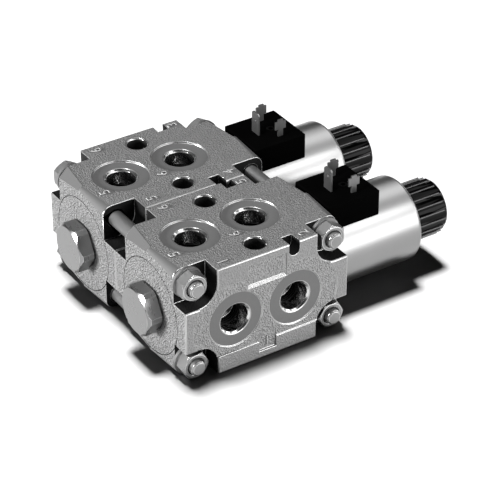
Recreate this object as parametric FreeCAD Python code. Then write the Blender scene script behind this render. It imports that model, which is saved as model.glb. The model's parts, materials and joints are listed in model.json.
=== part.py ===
"""Two stackable six-port solenoid diverter sections, bolted back to back.

Millimetres. X runs along the spools, towards the solenoids. Y runs through the
stack, from the front section to the rear one. Z is up. The origin is on the base,
under the middle of the front section, midway between its two top ports.
"""
import FreeCAD, Part
import math
import os

from FreeCAD import Vector

# Cast body of one section
section_depth = 65.0
body_height = 60.0
body_left = -40.0
body_right = 52.6
edge_round = 0.9
corner_cut_end = 6.5
corner_cut_middle = 2.4
parting_shift = 2.0

# Tie bolts and the corner pockets round them
tie_inset = 7.2
tie_low_z = 7.3
tie_top_drop = 8.0
tie_shank_r = 4.0
tie_hole_clearance = 0.7
pocket_r = 10.7
pocket_depth_front = 11.0
pocket_depth_rear = 10.0
hex_across = 13.0
hex_face_share = 0.96
hex_chamfer_angle = 30
nut_height = 6.8
nut_mouth = 0.9
thread_tip = 0.8
head_height = 5.3
washer_r = 8.0
washer_thickness = 1.6
washer_clearance = 0.2
thread_end = 2.8
fit_gap = 0.05

# Ports and holes
port_spacing = 34.1
side_port_shift = 5.35
spool_axis_z = 28.0
port_thread_r = 7.5
port_thread_depth = 13.0
port_tip_r = 3.5
port_chamfer = 1.1
spotface_depth = 1.0
top_spotface_r = 14.5
side_spotface_r = 15.0
fixing_hole_r = 5.25
fixing_hole_spacing = 44.6
fixing_hole_chamfer = 0.6
groove_seal_section = 1.6
groove_seal_r = 10.0

# Front face relief
relief_depth = 0.5
relief_r = 24.0
band_low_z = 9.9
band_top_drop = 11.2
panel_left = -4.8
panel_right = 16.2
panel_low_z = 43.8
panel_top_drop = 4.2
panel_depth = 1.5
panel_ledge_width = 0.9
panel_ledge_depth = 1.0
mark_depth = 1.1
mark_left = 1.4
mark_right = 11.1
mark_low_z = 4.1
mark_high_z = 14.2
notch_width = 6.0
notch_height = 7.0
notch_front_x = 21.2
notch_front_depth = 7.3
notch_rear_x = 23.6
notch_rear_depth = 6.0
ring_line_r = 24.9
ring_line_width = 0.4
ring_line_depth = 0.4

# Spool bore and passages
spool_r = 8.0
running_clearance = 0.02
groove_r = 11.5
groove_width = 4.2
groove_pitch = 8.0
middle_passage_r = 4.5
slant_passage_r = 4.0
passage_end_r = 9.3
chamber_r = 10.2
plug_chamber_depth = 11.0
tube_chamber_depth = 13.0
flange_recess_depth = 3.0

# Spool and its spring
stroke = 3.8
spool_inset_left = 2.0
spool_inset_right = 1.1
waist_r = 5.0
land_overlap = 0.9
land_opening = 2.9
spool_chamfer = 0.4
seat_r = 6.4
seat_thickness = 1.2
seat_nose_r = 3.9
seat_nose_length = 2.6
spring_mean_r = 4.9
spring_wire_r = 0.7
spring_turns = 5

# End plug
plug_end_gap = 0.7
plug_neck_length = 1.0
plug_across = 24.0
plug_hex_length = 7.7
plug_corner_r = 13.1
plug_face_r = 11.7
plug_face_drop = 1.5
plug_bore_r = 6.7
plug_bore_end = 3.5
plug_seal_section = 1.9

# Solenoid tube and armature
flange_r = 14.0
flange_thickness = 4.0
flange_seal_section = 1.6
nose_gap = 0.6
pole_length = 19.0
pole_r = 9.05
sleeve_r = 10.5
sleeve_setback = 2.0
pin_r = 2.0
pin_clearance = 0.05
air_gap = 0.3
armature_clearance = 0.05
tail_plug_length = 3.2
rest_gap = 0.1
stud_r = 8.0
stud_length = 15.0
stud_tip = 1.0

# Coil, connector base and knob
coil_r = 22.4
coil_length = 52.4
coil_wall = 2.2
coil_end_wall = 4.0
coil_rim_round = 2.4
coil_bore_clearance = 0.15
lead_window_length = 20.0
lead_window_width = 14.0
base_gap = 0.4
base_length = 30.7
base_width = 29.6
base_over_coil = 8.6
base_chamfer = 0.5
pin_pattern_inset = 18.8
pin_pattern_r = 9.0
blade_width = 6.3
blade_thickness = 0.8
ground_blade_height = 12.0
line_blade_height = 9.5
line_neck_width = 3.0
line_neck_height = 3.9
line_head_height = 4.4
blade_hole_r = 0.7
blade_hole_drop = 4.5
blade_corner = 1.0
blade_root = 3.0
insert_r = 2.3
insert_bore_r = 1.25
insert_length = 7.0
insert_floor = 1.0
insert_drop = 0.3
knob_length = 22.0
knob_core_r = 14.4
knob_rib_r = 15.2
knob_rib_width = 1.1
knob_ribs = 20
knob_chamfer = 1.2
knob_seal_section = 1.8
knob_bore_gap = 0.5

# Places worked out from the sizes above
front_y = -section_depth / 2
rear_y = section_depth / 2
ties_x = (body_left + tie_inset, body_right - tie_inset)
ties_z = (tie_low_z, body_height - tie_top_drop)
tie_hole_r = tie_shank_r + tie_hole_clearance
top_ports_x = (-port_spacing / 2, port_spacing / 2)
side_ports_x = tuple(side_port_shift + x for x in top_ports_x)
fixing_x = side_port_shift
grooves_x = [x + k * groove_pitch for x in side_ports_x for k in (-1, 0, 1)]
left_chamber_x = body_left + plug_chamber_depth
right_chamber_x = body_right - tube_chamber_depth
spool_left_x = left_chamber_x + spool_inset_left
spool_right_x = right_chamber_x - spool_inset_right
flange_left_x = body_right - flange_recess_depth
coil_left_x = flange_left_x + flange_thickness
coil_right_x = coil_left_x + coil_length
pole_face_x = coil_left_x + pole_length
sleeve_right_x = coil_right_x - sleeve_setback
armature_left_x = pole_face_x + stroke + air_gap
armature_right_x = sleeve_right_x - tail_plug_length - rest_gap
base_left_x = body_right + base_gap
base_top_z = spool_axis_z + coil_r + base_over_coil
pin_pattern_x = base_left_x + pin_pattern_inset
spool_bore_r = spool_r + running_clearance
plug_end_x = spool_left_x - stroke - plug_end_gap
plug_face_x = body_left - plug_neck_length - plug_hex_length
cutter_over = 1.0
far = 4 * section_depth


def box(x0, x1, y0, y1, z0, z1):
    return Part.makeBox(x1 - x0, y1 - y0, z1 - z0, Vector(x0, y0, z0))


def rod(start, end, radius):
    """A round bar between two points."""
    start, end = Vector(*start), Vector(*end)
    return Part.makeCylinder(radius, (end - start).Length, start, end - start)


def turned(profile):
    """A turned piece on the spool axis, from (x, radius) corners."""
    corners = [Vector(x, 0, spool_axis_z + r) for x, r in profile]
    face = Part.Face(Part.makePolygon(corners + corners[:1]))
    return face.revolve(Vector(0, 0, spool_axis_z), Vector(1, 0, 0), 360)


def seal_ring(axis_start, axis_end, inner_r, outer_r, crown=0.3):
    """A squeezed ring seal: flat where it seats, rounded at its rims."""
    start, end = Vector(*axis_start), Vector(*axis_end)
    length = (end - start).Length
    ring = Part.makeCylinder(outer_r, length, start, end - start)
    ring = ring.cut(Part.makeCylinder(inner_r, length, start, end - start))
    round_r = min(crown, length / 4, (outer_r - inner_r) / 4)
    return ring.makeFillet(round_r, [e for e in ring.Edges if e.Closed and len(e.Vertexes) == 1])


def hexagon(across, length, flats_along_x):
    """A hexagonal bar standing on the XY plane, its flats facing X or Y."""
    corner_r = across / math.sqrt(3)
    turn = 30 if flats_along_x else 0
    angles = [math.radians(turn + 60 * k) for k in range(6)]
    corners = [Vector(corner_r * math.cos(a), corner_r * math.sin(a), 0) for a in angles]
    return Part.Face(Part.makePolygon(corners + corners[:1])).extrude(Vector(0, 0, length))


def chamfered_hexagon(across, length, flats_along_x, both_ends):
    """A hexagonal bar whose corners are turned off at the far end, or at both ends."""
    bar = hexagon(across, length, flats_along_x)
    outer_r = across / math.sqrt(3) + cutter_over
    face_r = across / 2 * hex_face_share
    drop = (outer_r - face_r) * math.tan(math.radians(hex_chamfer_angle))
    low = [(face_r, 0), (outer_r, drop)] if both_ends else [(outer_r, 0)]
    high = [(outer_r, length - drop), (face_r, length)]
    profile = [(0, 0)] + low + high + [(0, length)]
    corners = [Vector(r, 0, z) for r, z in profile]
    blank = Part.Face(Part.makePolygon(corners + corners[:1])).revolve(Vector(), Vector(0, 0, 1), 360)
    return bar.common(blank)


def laid(shape, direction, place):
    """A piece built standing up, laid along a direction and moved to its place."""
    turn = FreeCAD.Rotation(Vector(0, 0, 1), Vector(*direction))
    moved = shape.copy()
    moved.Placement = FreeCAD.Placement(Vector(*place), turn)
    return moved


def port(place, into, spotface_r):
    """The cutter of one threaded port: spotface, chamfer and tapped bore."""
    place, into = Vector(*place), Vector(*into)
    floor = place + into * spotface_depth
    spot = Part.makeCylinder(spotface_r, spotface_depth + cutter_over, place - into * cutter_over, into)
    mouth = Part.makeCone(port_thread_r + port_chamfer, port_thread_r, port_chamfer, floor, into)
    bore = Part.makeCylinder(port_thread_r, port_thread_depth, floor, into)
    tip = Part.makeCone(port_thread_r, port_tip_r, (port_thread_r - port_tip_r) / 2,
                        floor + into * port_thread_depth, into)
    return [spot, mouth, bore, tip]


def corner_pocket(x, z, y0, y1):
    """A corner pocket: round about the tie bolt, open to the end and to the top or bottom."""
    outward_x = -1 if x < (body_left + body_right) / 2 else 1
    outward_z = -1 if z < body_height / 2 else 1
    core = rod((x, y0, z), (x, y1, z), pocket_r)
    x_far, z_far = x + outward_x * far, z + outward_z * far
    side = box(min(x, x_far), max(x, x_far), y0, y1, min(z - outward_z * pocket_r, z_far),
               max(z - outward_z * pocket_r, z_far))
    cap = box(min(x - outward_x * pocket_r, x_far), max(x - outward_x * pocket_r, x_far), y0, y1,
              min(z, z_far), max(z, z_far))
    return core.fuse([side, cap])


def corner_point(corner, inward_x, inward_z, y):
    """A point by its distances inward from one corner of the body's end view."""
    x, sign_x, z, sign_z = corner
    return Vector(x + sign_x * inward_x, y, z + sign_z * inward_z)


def planed_wire(corner, size, y):
    """A triangle that planes a corner off."""
    reach = size + cutter_over
    points = [(-cutter_over, -cutter_over), (reach, -cutter_over), (-cutter_over, reach)]
    wire = [corner_point(corner, along, down, y) for along, down in points]
    return Part.makePolygon(wire + wire[:1])


def rounded_wire(corner, size, y):
    """The area between a corner and the arc that rounds it."""
    bend = size * (1 - math.sqrt(0.5))
    points = [(-cutter_over, size), (-cutter_over, -cutter_over), (size, -cutter_over), (size, 0), (0, size)]
    beyond, out, over, top, side = [corner_point(corner, along, down, y) for along, down in points]
    runs = ((side, beyond), (beyond, out), (out, over), (over, top))
    lines = [Part.LineSegment(start, end).toShape() for start, end in runs]
    return Part.Wire(lines + [Part.Arc(top, corner_point(corner, bend, bend, y), side).toShape()])


def corner_cutters():
    """The long corners of the casting: planed towards the rear and rounded towards the front."""
    cutters = []
    sizes = (corner_cut_end, corner_cut_middle)
    for corner in ((body_left, 1, 0, 1), (body_left, 1, body_height, -1),
                   (body_right, -1, 0, 1), (body_right, -1, body_height, -1)):
        for wire, end_y in ((planed_wire, rear_y), (rounded_wire, front_y)):
            wires = [wire(corner, size, y) for size, y in zip(sizes, (end_y, parting_shift))]
            cutters.append(Part.makeLoft(wires, True, True))
    return cutters


def edges_in_plane(shape, axis, value):
    """Edges that lie wholly in one plane across X, Y or Z."""
    found = []
    for edge in shape.Edges:
        low, high = edge.BoundBox, edge.BoundBox
        ends = {"x": (low.XMin, high.XMax), "y": (low.YMin, high.YMax), "z": (low.ZMin, high.ZMax)}[axis]
        if abs(ends[0] - value) < 1e-4 and abs(ends[1] - value) < 1e-4:
            found.append(edge)
    return found


def cast_blank():
    """The outer form of one casting, with its corner pockets and rounded edges."""
    body = box(body_left, body_right, front_y, rear_y, 0, body_height)
    body = body.cut(corner_cutters())
    pockets = []
    for x in ties_x:
        for z in ties_z:
            pockets.append(corner_pocket(x, z, front_y - 1, front_y + pocket_depth_front))
            pockets.append(corner_pocket(x, z, rear_y - pocket_depth_rear, rear_y + 1))
    body = body.cut(pockets).removeSplitter()
    outline = edges_in_plane(body, "y", front_y) + edges_in_plane(body, "y", rear_y)
    return body.makeFillet(edge_round, outline)


def front_relief():
    """Shallow forms cast in the front face: the port field, a stepped panel and a small mark box."""
    y0, y1 = front_y - 1, front_y + relief_depth
    left, right = side_ports_x
    field_z = spool_axis_z
    field = rod((left, y0, field_z), (left, y1, field_z), relief_r)
    field = field.fuse([rod((right, y0, field_z), (right, y1, field_z), relief_r),
                        box(left, right, y0, y1, field_z - relief_r, field_z + relief_r)])
    band = box(body_left - 1, body_right + 1, y0, y1, band_low_z, body_height - band_top_drop)
    panel_top_z = body_height - panel_top_drop
    panel = box(panel_left, panel_right, y0, front_y + panel_depth, panel_low_z, panel_top_z)
    ledge = box(panel_left, panel_right + panel_ledge_width, y0, front_y + panel_ledge_depth,
                panel_low_z - panel_ledge_width, panel_top_z)
    mark = box(mark_left, mark_right, y0, front_y + mark_depth, mark_low_z, mark_high_z)
    return [field.common(band), panel, ledge, mark]


def notch(x, y0, y1):
    """A round-bottomed notch in the top edge, between two Y planes."""
    r = notch_width / 2
    bottom_z = body_height - notch_height + r
    slot = box(x - r, x + r, y0, y1, bottom_z, body_height + 1)
    return slot.fuse(rod((x, y0, bottom_z), (x, y1, bottom_z), r))


def slanted_passage(start, groove_x, across):
    """A drilling from the bottom of an outer port into its groove."""
    end = Vector(groove_x, 0, spool_axis_z) + Vector(*across) * passage_end_r
    return rod(start, tuple(end), slant_passage_r)


def valve_body():
    body = cast_blank()
    cutters = front_relief()
    cutters.append(notch(notch_front_x, front_y - 1, front_y + notch_front_depth))
    cutters.append(notch(notch_rear_x, rear_y - notch_rear_depth, rear_y + 1))

    port_floor = spotface_depth + port_thread_depth
    for k, (top_x, side_x) in enumerate(zip(top_ports_x, side_ports_x)):
        outer_groove, middle_groove, through_groove = grooves_x[3 * k:3 * k + 3]
        cutters += port((top_x, 0, body_height), (0, 0, -1), top_spotface_r)
        cutters += port((side_x, front_y, spool_axis_z), (0, 1, 0), side_spotface_r)
        cutters += port((side_x, rear_y, spool_axis_z), (0, -1, 0), side_spotface_r)
        cutters.append(slanted_passage((top_x, 0, body_height - port_floor), outer_groove, (0, 0, 1)))
        cutters.append(rod((middle_groove, front_y + port_floor, spool_axis_z),
                           (middle_groove, -passage_end_r, spool_axis_z), middle_passage_r))
        rear_floor = (side_x, rear_y - port_floor, spool_axis_z)
        cutters.append(slanted_passage(rear_floor, through_groove, (0, 1, 0)))

    for y in (-fixing_hole_spacing / 2, fixing_hole_spacing / 2):
        cutters.append(rod((fixing_x, y, -1), (fixing_x, y, body_height + 1), fixing_hole_r))
        mouth = fixing_hole_r + fixing_hole_chamfer
        cutters.append(Part.makeCone(fixing_hole_r, mouth, fixing_hole_chamfer,
                                     Vector(fixing_x, y, body_height - fixing_hole_chamfer)))
        cutters.append(Part.makeCone(mouth, fixing_hole_r, fixing_hole_chamfer, Vector(fixing_x, y, 0)))
    for x in ties_x:
        for z in ties_z:
            cutters.append(rod((x, front_y, z), (x, rear_y, z), tie_hole_r))

    seat_r_mouth = chamber_r + plug_seal_section
    bore = [(body_left - 1, 0), (body_left - 1, seat_r_mouth + 1), (body_left, seat_r_mouth),
            (body_left + plug_seal_section, chamber_r), (left_chamber_x, chamber_r),
            (left_chamber_x, spool_bore_r)]
    for x in grooves_x:
        x0, x1 = x - groove_width / 2, x + groove_width / 2
        bore += [(x0, spool_bore_r), (x0, groove_r), (x1, groove_r), (x1, spool_bore_r)]
    bore += [(right_chamber_x, spool_bore_r), (right_chamber_x, chamber_r), (flange_left_x, chamber_r),
             (flange_left_x, flange_r + fit_gap), (body_right + 1, flange_r + fit_gap), (body_right + 1, 0)]
    cutters.append(turned(bore))
    ring = rod((body_left - 1, 0, spool_axis_z), (body_left + ring_line_depth, 0, spool_axis_z),
               ring_line_r + ring_line_width / 2)
    cutters.append(ring.cut(rod((body_left - 2, 0, spool_axis_z), (body_left + 2, 0, spool_axis_z),
                                ring_line_r - ring_line_width / 2)))
    for cutter in cutters:
        body = body.cut(cutter)
    return body


def end_plug():
    """The plug of the spool bore: a hexagon head whose corners are turned round, and its shank."""
    shank_x = body_left - plug_neck_length
    head = laid(hexagon(plug_across, plug_hex_length, True), (-1, 0, 0), (shank_x, 0, spool_axis_z))
    head = head.common(turned([(plug_face_x, 0), (plug_face_x, plug_face_r),
                               (plug_face_x + plug_face_drop, plug_corner_r), (shank_x, plug_corner_r),
                               (shank_x, 0)]))
    shank_r = chamber_r - fit_gap
    bore_end_x = plug_face_x + plug_bore_end
    shank = turned([(shank_x, 0), (shank_x, shank_r), (plug_end_x - spool_chamfer, shank_r),
                    (plug_end_x, shank_r - spool_chamfer), (plug_end_x, 0)])
    bore = rod((bore_end_x, 0, spool_axis_z), (plug_end_x + 1, 0, spool_axis_z), plug_bore_r)
    return head.fuse(shank).cut(bore).removeSplitter()


def plug_seal():
    """The ring squeezed between the plug's neck, its head and the body's mouth."""
    neck_r = chamber_r - fit_gap
    inner = body_left + plug_seal_section / 2
    outer = body_left - plug_neck_length
    rim_r = neck_r + plug_seal_section
    middle_r = neck_r + plug_seal_section / 2
    return turned([(outer, neck_r), (outer, rim_r), (body_left, rim_r), (inner, middle_r), (inner, neck_r)])


def spool():
    land = groove_width / 2
    profile = [(spool_left_x, 0), (spool_left_x, spool_r - spool_chamfer)]
    profile.append((spool_left_x + spool_chamfer, spool_r))
    for k in range(2):
        outer_groove, middle_groove, through_groove = grooves_x[3 * k:3 * k + 3]
        waist_left = outer_groove + land + land_overlap
        waist_right = through_groove - land + land_opening
        profile += [(waist_left, spool_r), (waist_left, waist_r)]
        profile += [(waist_right, waist_r), (waist_right, spool_r)]
    tip_x = spool_right_x - spool_chamfer
    profile += [(tip_x, spool_r), (spool_right_x, spool_r - spool_chamfer), (spool_right_x, 0)]
    return turned(profile)


def spring_seat():
    flange_x = spool_left_x - seat_thickness
    nose_x = flange_x - seat_nose_length
    return turned([(spool_left_x, 0), (spool_left_x, seat_r), (flange_x, seat_r), (flange_x, seat_nose_r),
                   (nose_x, seat_nose_r - spool_chamfer), (nose_x, 0)])


def return_spring():
    """A wound spring between the plug's bore and the spring seat."""
    start = plug_face_x + plug_bore_end + spring_wire_r
    length = spool_left_x - seat_thickness - spring_wire_r - start
    path = Part.makeHelix(length / spring_turns, length, spring_mean_r)
    circle = Part.makeCircle(spring_wire_r, Vector(spring_mean_r, 0, 0), Vector(0, 1, 0))
    coil = Part.Wire(path).makePipeShell([Part.Wire(circle)], True, True)
    return laid(coil, (1, 0, 0), (start, 0, spool_axis_z))


def push_pin():
    return rod((spool_right_x, 0, spool_axis_z), (armature_left_x, 0, spool_axis_z), pin_r)


def armature():
    bore_r = pole_r - armature_clearance
    return turned([(armature_left_x, 0), (armature_left_x, bore_r - spool_chamfer),
                   (armature_left_x + spool_chamfer, bore_r), (armature_right_x - spool_chamfer, bore_r),
                   (armature_right_x, bore_r - spool_chamfer), (armature_right_x, 0)])


def pole_piece():
    """Threaded nose, flange and fixed pole of the solenoid tube, in one turned piece."""
    nose_x = right_chamber_x + nose_gap
    nose_r = chamber_r - fit_gap
    hole_r = pin_r + pin_clearance
    seal = flange_seal_section
    return turned([(nose_x, hole_r), (nose_x, nose_r - spool_chamfer), (nose_x + spool_chamfer, nose_r),
                   (flange_left_x - seal, nose_r), (flange_left_x - seal, nose_r - seal / 2),
                   (flange_left_x, nose_r - seal / 2), (flange_left_x, flange_r), (coil_left_x, flange_r),
                   (coil_left_x, pole_r), (pole_face_x, pole_r), (pole_face_x, hole_r)])


def tube_seal():
    seal = flange_seal_section
    outer_r = chamber_r
    inner_r = chamber_r - fit_gap - seal / 2
    return turned([(flange_left_x - seal, inner_r), (flange_left_x - seal, outer_r),
                   (flange_left_x, outer_r), (flange_left_x, inner_r)])


def guide_sleeve():
    sleeve = rod((coil_left_x, 0, spool_axis_z), (sleeve_right_x, 0, spool_axis_z), sleeve_r)
    return sleeve.cut(rod((coil_left_x - 1, 0, spool_axis_z), (sleeve_right_x + 1, 0, spool_axis_z), pole_r))


def tail_stud():
    """The closed end of the tube, with the stud that the knob screws on."""
    stop_x = armature_right_x + rest_gap
    end_x = sleeve_right_x + stud_length
    return turned([(stop_x, 0), (stop_x, pole_r), (sleeve_right_x, pole_r), (sleeve_right_x, stud_r),
                   (end_x - stud_tip, stud_r), (end_x, stud_r - stud_tip), (end_x, 0)])


def coil_jacket():
    """The polished steel can round the winding."""
    jacket = rod((coil_left_x, 0, spool_axis_z), (coil_right_x, 0, spool_axis_z), coil_r)
    rim = [e for e in jacket.Edges if e.Closed and len(e.Vertexes) == 1]
    jacket = jacket.makeFillet(coil_rim_round, [e for e in rim if e.BoundBox.XMin > coil_left_x + 1])
    hollow_r = coil_r - coil_wall
    jacket = jacket.cut(rod((coil_left_x + coil_end_wall, 0, spool_axis_z),
                            (coil_right_x - coil_end_wall, 0, spool_axis_z), hollow_r))
    window_x = coil_left_x + coil_end_wall
    window = box(window_x, window_x + lead_window_length, -lead_window_width / 2, lead_window_width / 2,
                 spool_axis_z, spool_axis_z + coil_r)
    bore_r = sleeve_r + coil_bore_clearance
    bore = rod((coil_left_x - 1, 0, spool_axis_z), (coil_right_x + 1, 0, spool_axis_z), bore_r)
    return jacket.cut([bore, window])


def coil_winding():
    """The moulded winding inside the can."""
    x0, x1 = coil_left_x + coil_end_wall + fit_gap, coil_right_x - coil_end_wall - fit_gap
    winding = rod((x0, 0, spool_axis_z), (x1, 0, spool_axis_z), coil_r - coil_wall - fit_gap)
    bore_r = sleeve_r + coil_bore_clearance
    return winding.cut(rod((x0 - 1, 0, spool_axis_z), (x1 + 1, 0, spool_axis_z), bore_r))


def connector_base():
    """The moulded terminal base, saddled on the can."""
    x0, x1 = base_left_x, base_left_x + base_length
    half = base_width / 2
    base = box(x0, x1, -half, half, spool_axis_z, base_top_z)
    upright = [e for e in base.Edges if abs(e.tangentAt(e.FirstParameter).z) > 0.99]
    top = edges_in_plane(base, "z", base_top_z)
    base = base.makeChamfer(base_chamfer, upright + top)
    base = base.cut(rod((x0 - 1, 0, spool_axis_z), (x1 + 1, 0, spool_axis_z), coil_r + fit_gap))
    base = base.cut(box(x0 - 1, coil_left_x, -half - 1, half + 1, spool_axis_z, spool_axis_z + coil_r))
    insert_end = (pin_pattern_x, 0, base_top_z - insert_length)
    sockets = [rod(insert_end, (pin_pattern_x, 0, base_top_z + 1), insert_r)]
    for x, y, wide_y in blade_places():
        across_x, across_y = blade_size(wide_y, blade_width if wide_y else line_neck_width)
        sockets.append(box(x - across_x / 2, x + across_x / 2, y - across_y / 2, y + across_y / 2,
                           base_top_z - blade_root, base_top_z + 1))
    return base.cut(sockets)


def blade_places():
    """Each blade's X, Y and whether it is wide along Y: the ground blade first."""
    return [(pin_pattern_x - pin_pattern_r, 0, True), (pin_pattern_x, -pin_pattern_r, False),
            (pin_pattern_x, pin_pattern_r, False)]


def blade_size(wide_y, width):
    return (blade_thickness, width) if wide_y else (width, blade_thickness)


def ground_blade():
    x, y, wide_y = blade_places()[0]
    top_z = base_top_z + ground_blade_height
    blade = box(x - blade_thickness / 2, x + blade_thickness / 2, -blade_width / 2, blade_width / 2,
                base_top_z - blade_root, top_z)
    corners = [e for e in edges_in_plane(blade, "z", top_z) if abs(e.tangentAt(e.FirstParameter).x) > 0.99]
    blade = blade.makeChamfer(blade_corner, corners)
    hole_z = top_z - blade_hole_drop
    return blade.cut(rod((x - 1, y, hole_z), (x + 1, y, hole_z), blade_hole_r))


def line_blades():
    """The two line blades: a narrow neck, a wide shouldered head and a narrow tip."""
    blades = []
    for x, y, wide_y in blade_places()[1:]:
        neck_z = base_top_z + line_neck_height
        head_z = neck_z + line_head_height
        y0, y1 = y - blade_thickness / 2, y + blade_thickness / 2
        neck = box(x - line_neck_width / 2, x + line_neck_width / 2, y0, y1, base_top_z - blade_root,
                   base_top_z + line_blade_height)
        head = box(x - blade_width / 2, x + blade_width / 2, y0, y1, neck_z, head_z)
        blades.append(neck.fuse(head).removeSplitter())
    return Part.makeCompound(blades)


def screw_insert():
    x, start, end = pin_pattern_x, base_top_z - insert_length, base_top_z - insert_drop
    insert = rod((x, 0, start), (x, 0, end), insert_r)
    return insert.cut(rod((x, 0, start + insert_floor), (x, 0, end + 1), insert_bore_r))


def coil_knob():
    """The ribbed nut that holds the coil on its tube."""
    x0, x1 = coil_right_x, coil_right_x + knob_length
    knob = turned([(x0, 0), (x0, knob_core_r), (x1 - knob_chamfer, knob_core_r),
                   (x1, knob_core_r - knob_chamfer), (x1, 0)])
    rib = box(x0, x1, -knob_rib_width / 2, knob_rib_width / 2, spool_axis_z + knob_core_r - 1,
              spool_axis_z + knob_rib_r)
    ribs = []
    for k in range(knob_ribs):
        turned_rib = rib.copy()
        turned_rib.rotate(Vector(0, 0, spool_axis_z), Vector(1, 0, 0), 360 * k / knob_ribs)
        ribs.append(turned_rib)
    envelope = turned([(x0, 0), (x0, knob_rib_r), (x1 - 2 * knob_chamfer, knob_rib_r),
                       (x1, knob_core_r - knob_chamfer), (x1, 0)])
    knob = knob.fuse(ribs).common(envelope)
    seal_r = sleeve_r + knob_seal_section
    bore_end = sleeve_right_x + stud_length + knob_bore_gap
    bore = rod((x0 - 1, 0, spool_axis_z), (bore_end, 0, spool_axis_z), stud_r + fit_gap)
    seal_seat = rod((x0 - 1, 0, spool_axis_z), (x0 + knob_seal_section, 0, spool_axis_z), seal_r)
    return knob.cut([bore, seal_seat]).removeSplitter()


def knob_seal():
    x0 = coil_right_x
    return seal_ring((x0, 0, spool_axis_z), (x0 + knob_seal_section, 0, spool_axis_z), sleeve_r,
                     sleeve_r + knob_seal_section - fit_gap)


def port_seal(x):
    """One ring between two sections, squeezed between their spotfaces."""
    y = rear_y
    return seal_ring((x, y - spotface_depth, spool_axis_z), (x, y + spotface_depth, spool_axis_z),
                     groove_seal_r, groove_seal_r + groove_seal_section)


def stack_ends():
    """The Y planes on which the washers of the tie bolts seat."""
    return front_y + pocket_depth_front, rear_y + section_depth - pocket_depth_rear


def tie_bolt(x, z, flats_along_x):
    seat_front, seat_rear = stack_ends()
    head_y = seat_rear + washer_thickness
    end_y = seat_front - washer_thickness - nut_height - thread_end
    head = laid(chamfered_hexagon(hex_across, head_height, flats_along_x, False), (0, 1, 0), (x, head_y, z))
    shank = rod((x, head_y, z), (x, end_y + thread_tip, z), tie_shank_r)
    tip = Part.makeCone(tie_shank_r, tie_shank_r - thread_tip, thread_tip, Vector(x, end_y + thread_tip, z),
                        Vector(0, -1, 0))
    return head.fuse([shank, tip]).removeSplitter()


def tie_nut(x, z, flats_along_x):
    seat_y = stack_ends()[0] - washer_thickness
    nut = laid(chamfered_hexagon(hex_across, nut_height, flats_along_x, True), (0, -1, 0), (x, seat_y, z))
    bore = rod((x, seat_y + 1, z), (x, seat_y - nut_height - 1, z), tie_shank_r + fit_gap)
    mouth = Part.makeCone(tie_shank_r, tie_shank_r + nut_mouth, nut_mouth,
                          Vector(x, seat_y - nut_height + nut_mouth, z), Vector(0, -1, 0))
    return nut.cut([bore, mouth])


def washers(y):
    """Four plain washers standing on one Y plane, thickness towards +Y."""
    rings = []
    for x in ties_x:
        for z in ties_z:
            disc = rod((x, y, z), (x, y + washer_thickness, z), washer_r)
            hole = rod((x, y - 1, z), (x, y + washer_thickness + 1, z), tie_shank_r + washer_clearance)
            rings.append(disc.cut(hole))
    return Part.makeCompound(rings)


def section_pieces():
    return {
        "valve_body": valve_body(),
        "end_plug": end_plug(),
        "plug_seal": plug_seal(),
        "spool": spool(),
        "spring_seat": spring_seat(),
        "return_spring": return_spring(),
        "push_pin": push_pin(),
        "armature": armature(),
        "pole_piece": pole_piece(),
        "tube_seal": tube_seal(),
        "guide_sleeve": guide_sleeve(),
        "tail_stud": tail_stud(),
        "coil_jacket": coil_jacket(),
        "coil_winding": coil_winding(),
        "connector_base": connector_base(),
        "ground_blade": ground_blade(),
        "line_blades": line_blades(),
        "screw_insert": screw_insert(),
        "coil_knob": coil_knob(),
        "knob_seal": knob_seal(),
    }


def stack_pieces():
    seat_front, seat_rear = stack_ends()
    pieces = {
        "front_washers": washers(seat_front - washer_thickness),
        "rear_washers": washers(seat_rear),
        "left_port_seal": port_seal(side_ports_x[0]),
        "right_port_seal": port_seal(side_ports_x[1]),
    }
    for level, z in zip(("lower", "upper"), ties_z):
        for side, x in zip(("left", "right"), ties_x):
            pieces[f"{level}_{side}_tie_bolt"] = tie_bolt(x, z, level == "upper")
            pieces[f"{level}_{side}_tie_nut"] = tie_nut(x, z, level == "upper")
    return pieces


os.makedirs("parts", exist_ok=True)
nodes = stack_pieces()
for piece_name, piece in section_pieces().items():
    for section_name, shift in (("front", 0), ("rear", section_depth)):
        placed = piece.copy()
        placed.translate(Vector(0, shift, 0))
        nodes[f"{section_name}_{piece_name}"] = placed

for node, shape in sorted(nodes.items()):
    solids = len(shape.Solids)
    print(f"{node:28s} solids {solids}  valid {shape.isValid()}  volume {shape.Volume / 1000:8.3f} cm3")
    shape.exportStep(f"parts/{node}.step")
print(len(nodes), "nodes")
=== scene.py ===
import json
import math

import bmesh
import bpy
from mathutils import Matrix, Vector

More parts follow.
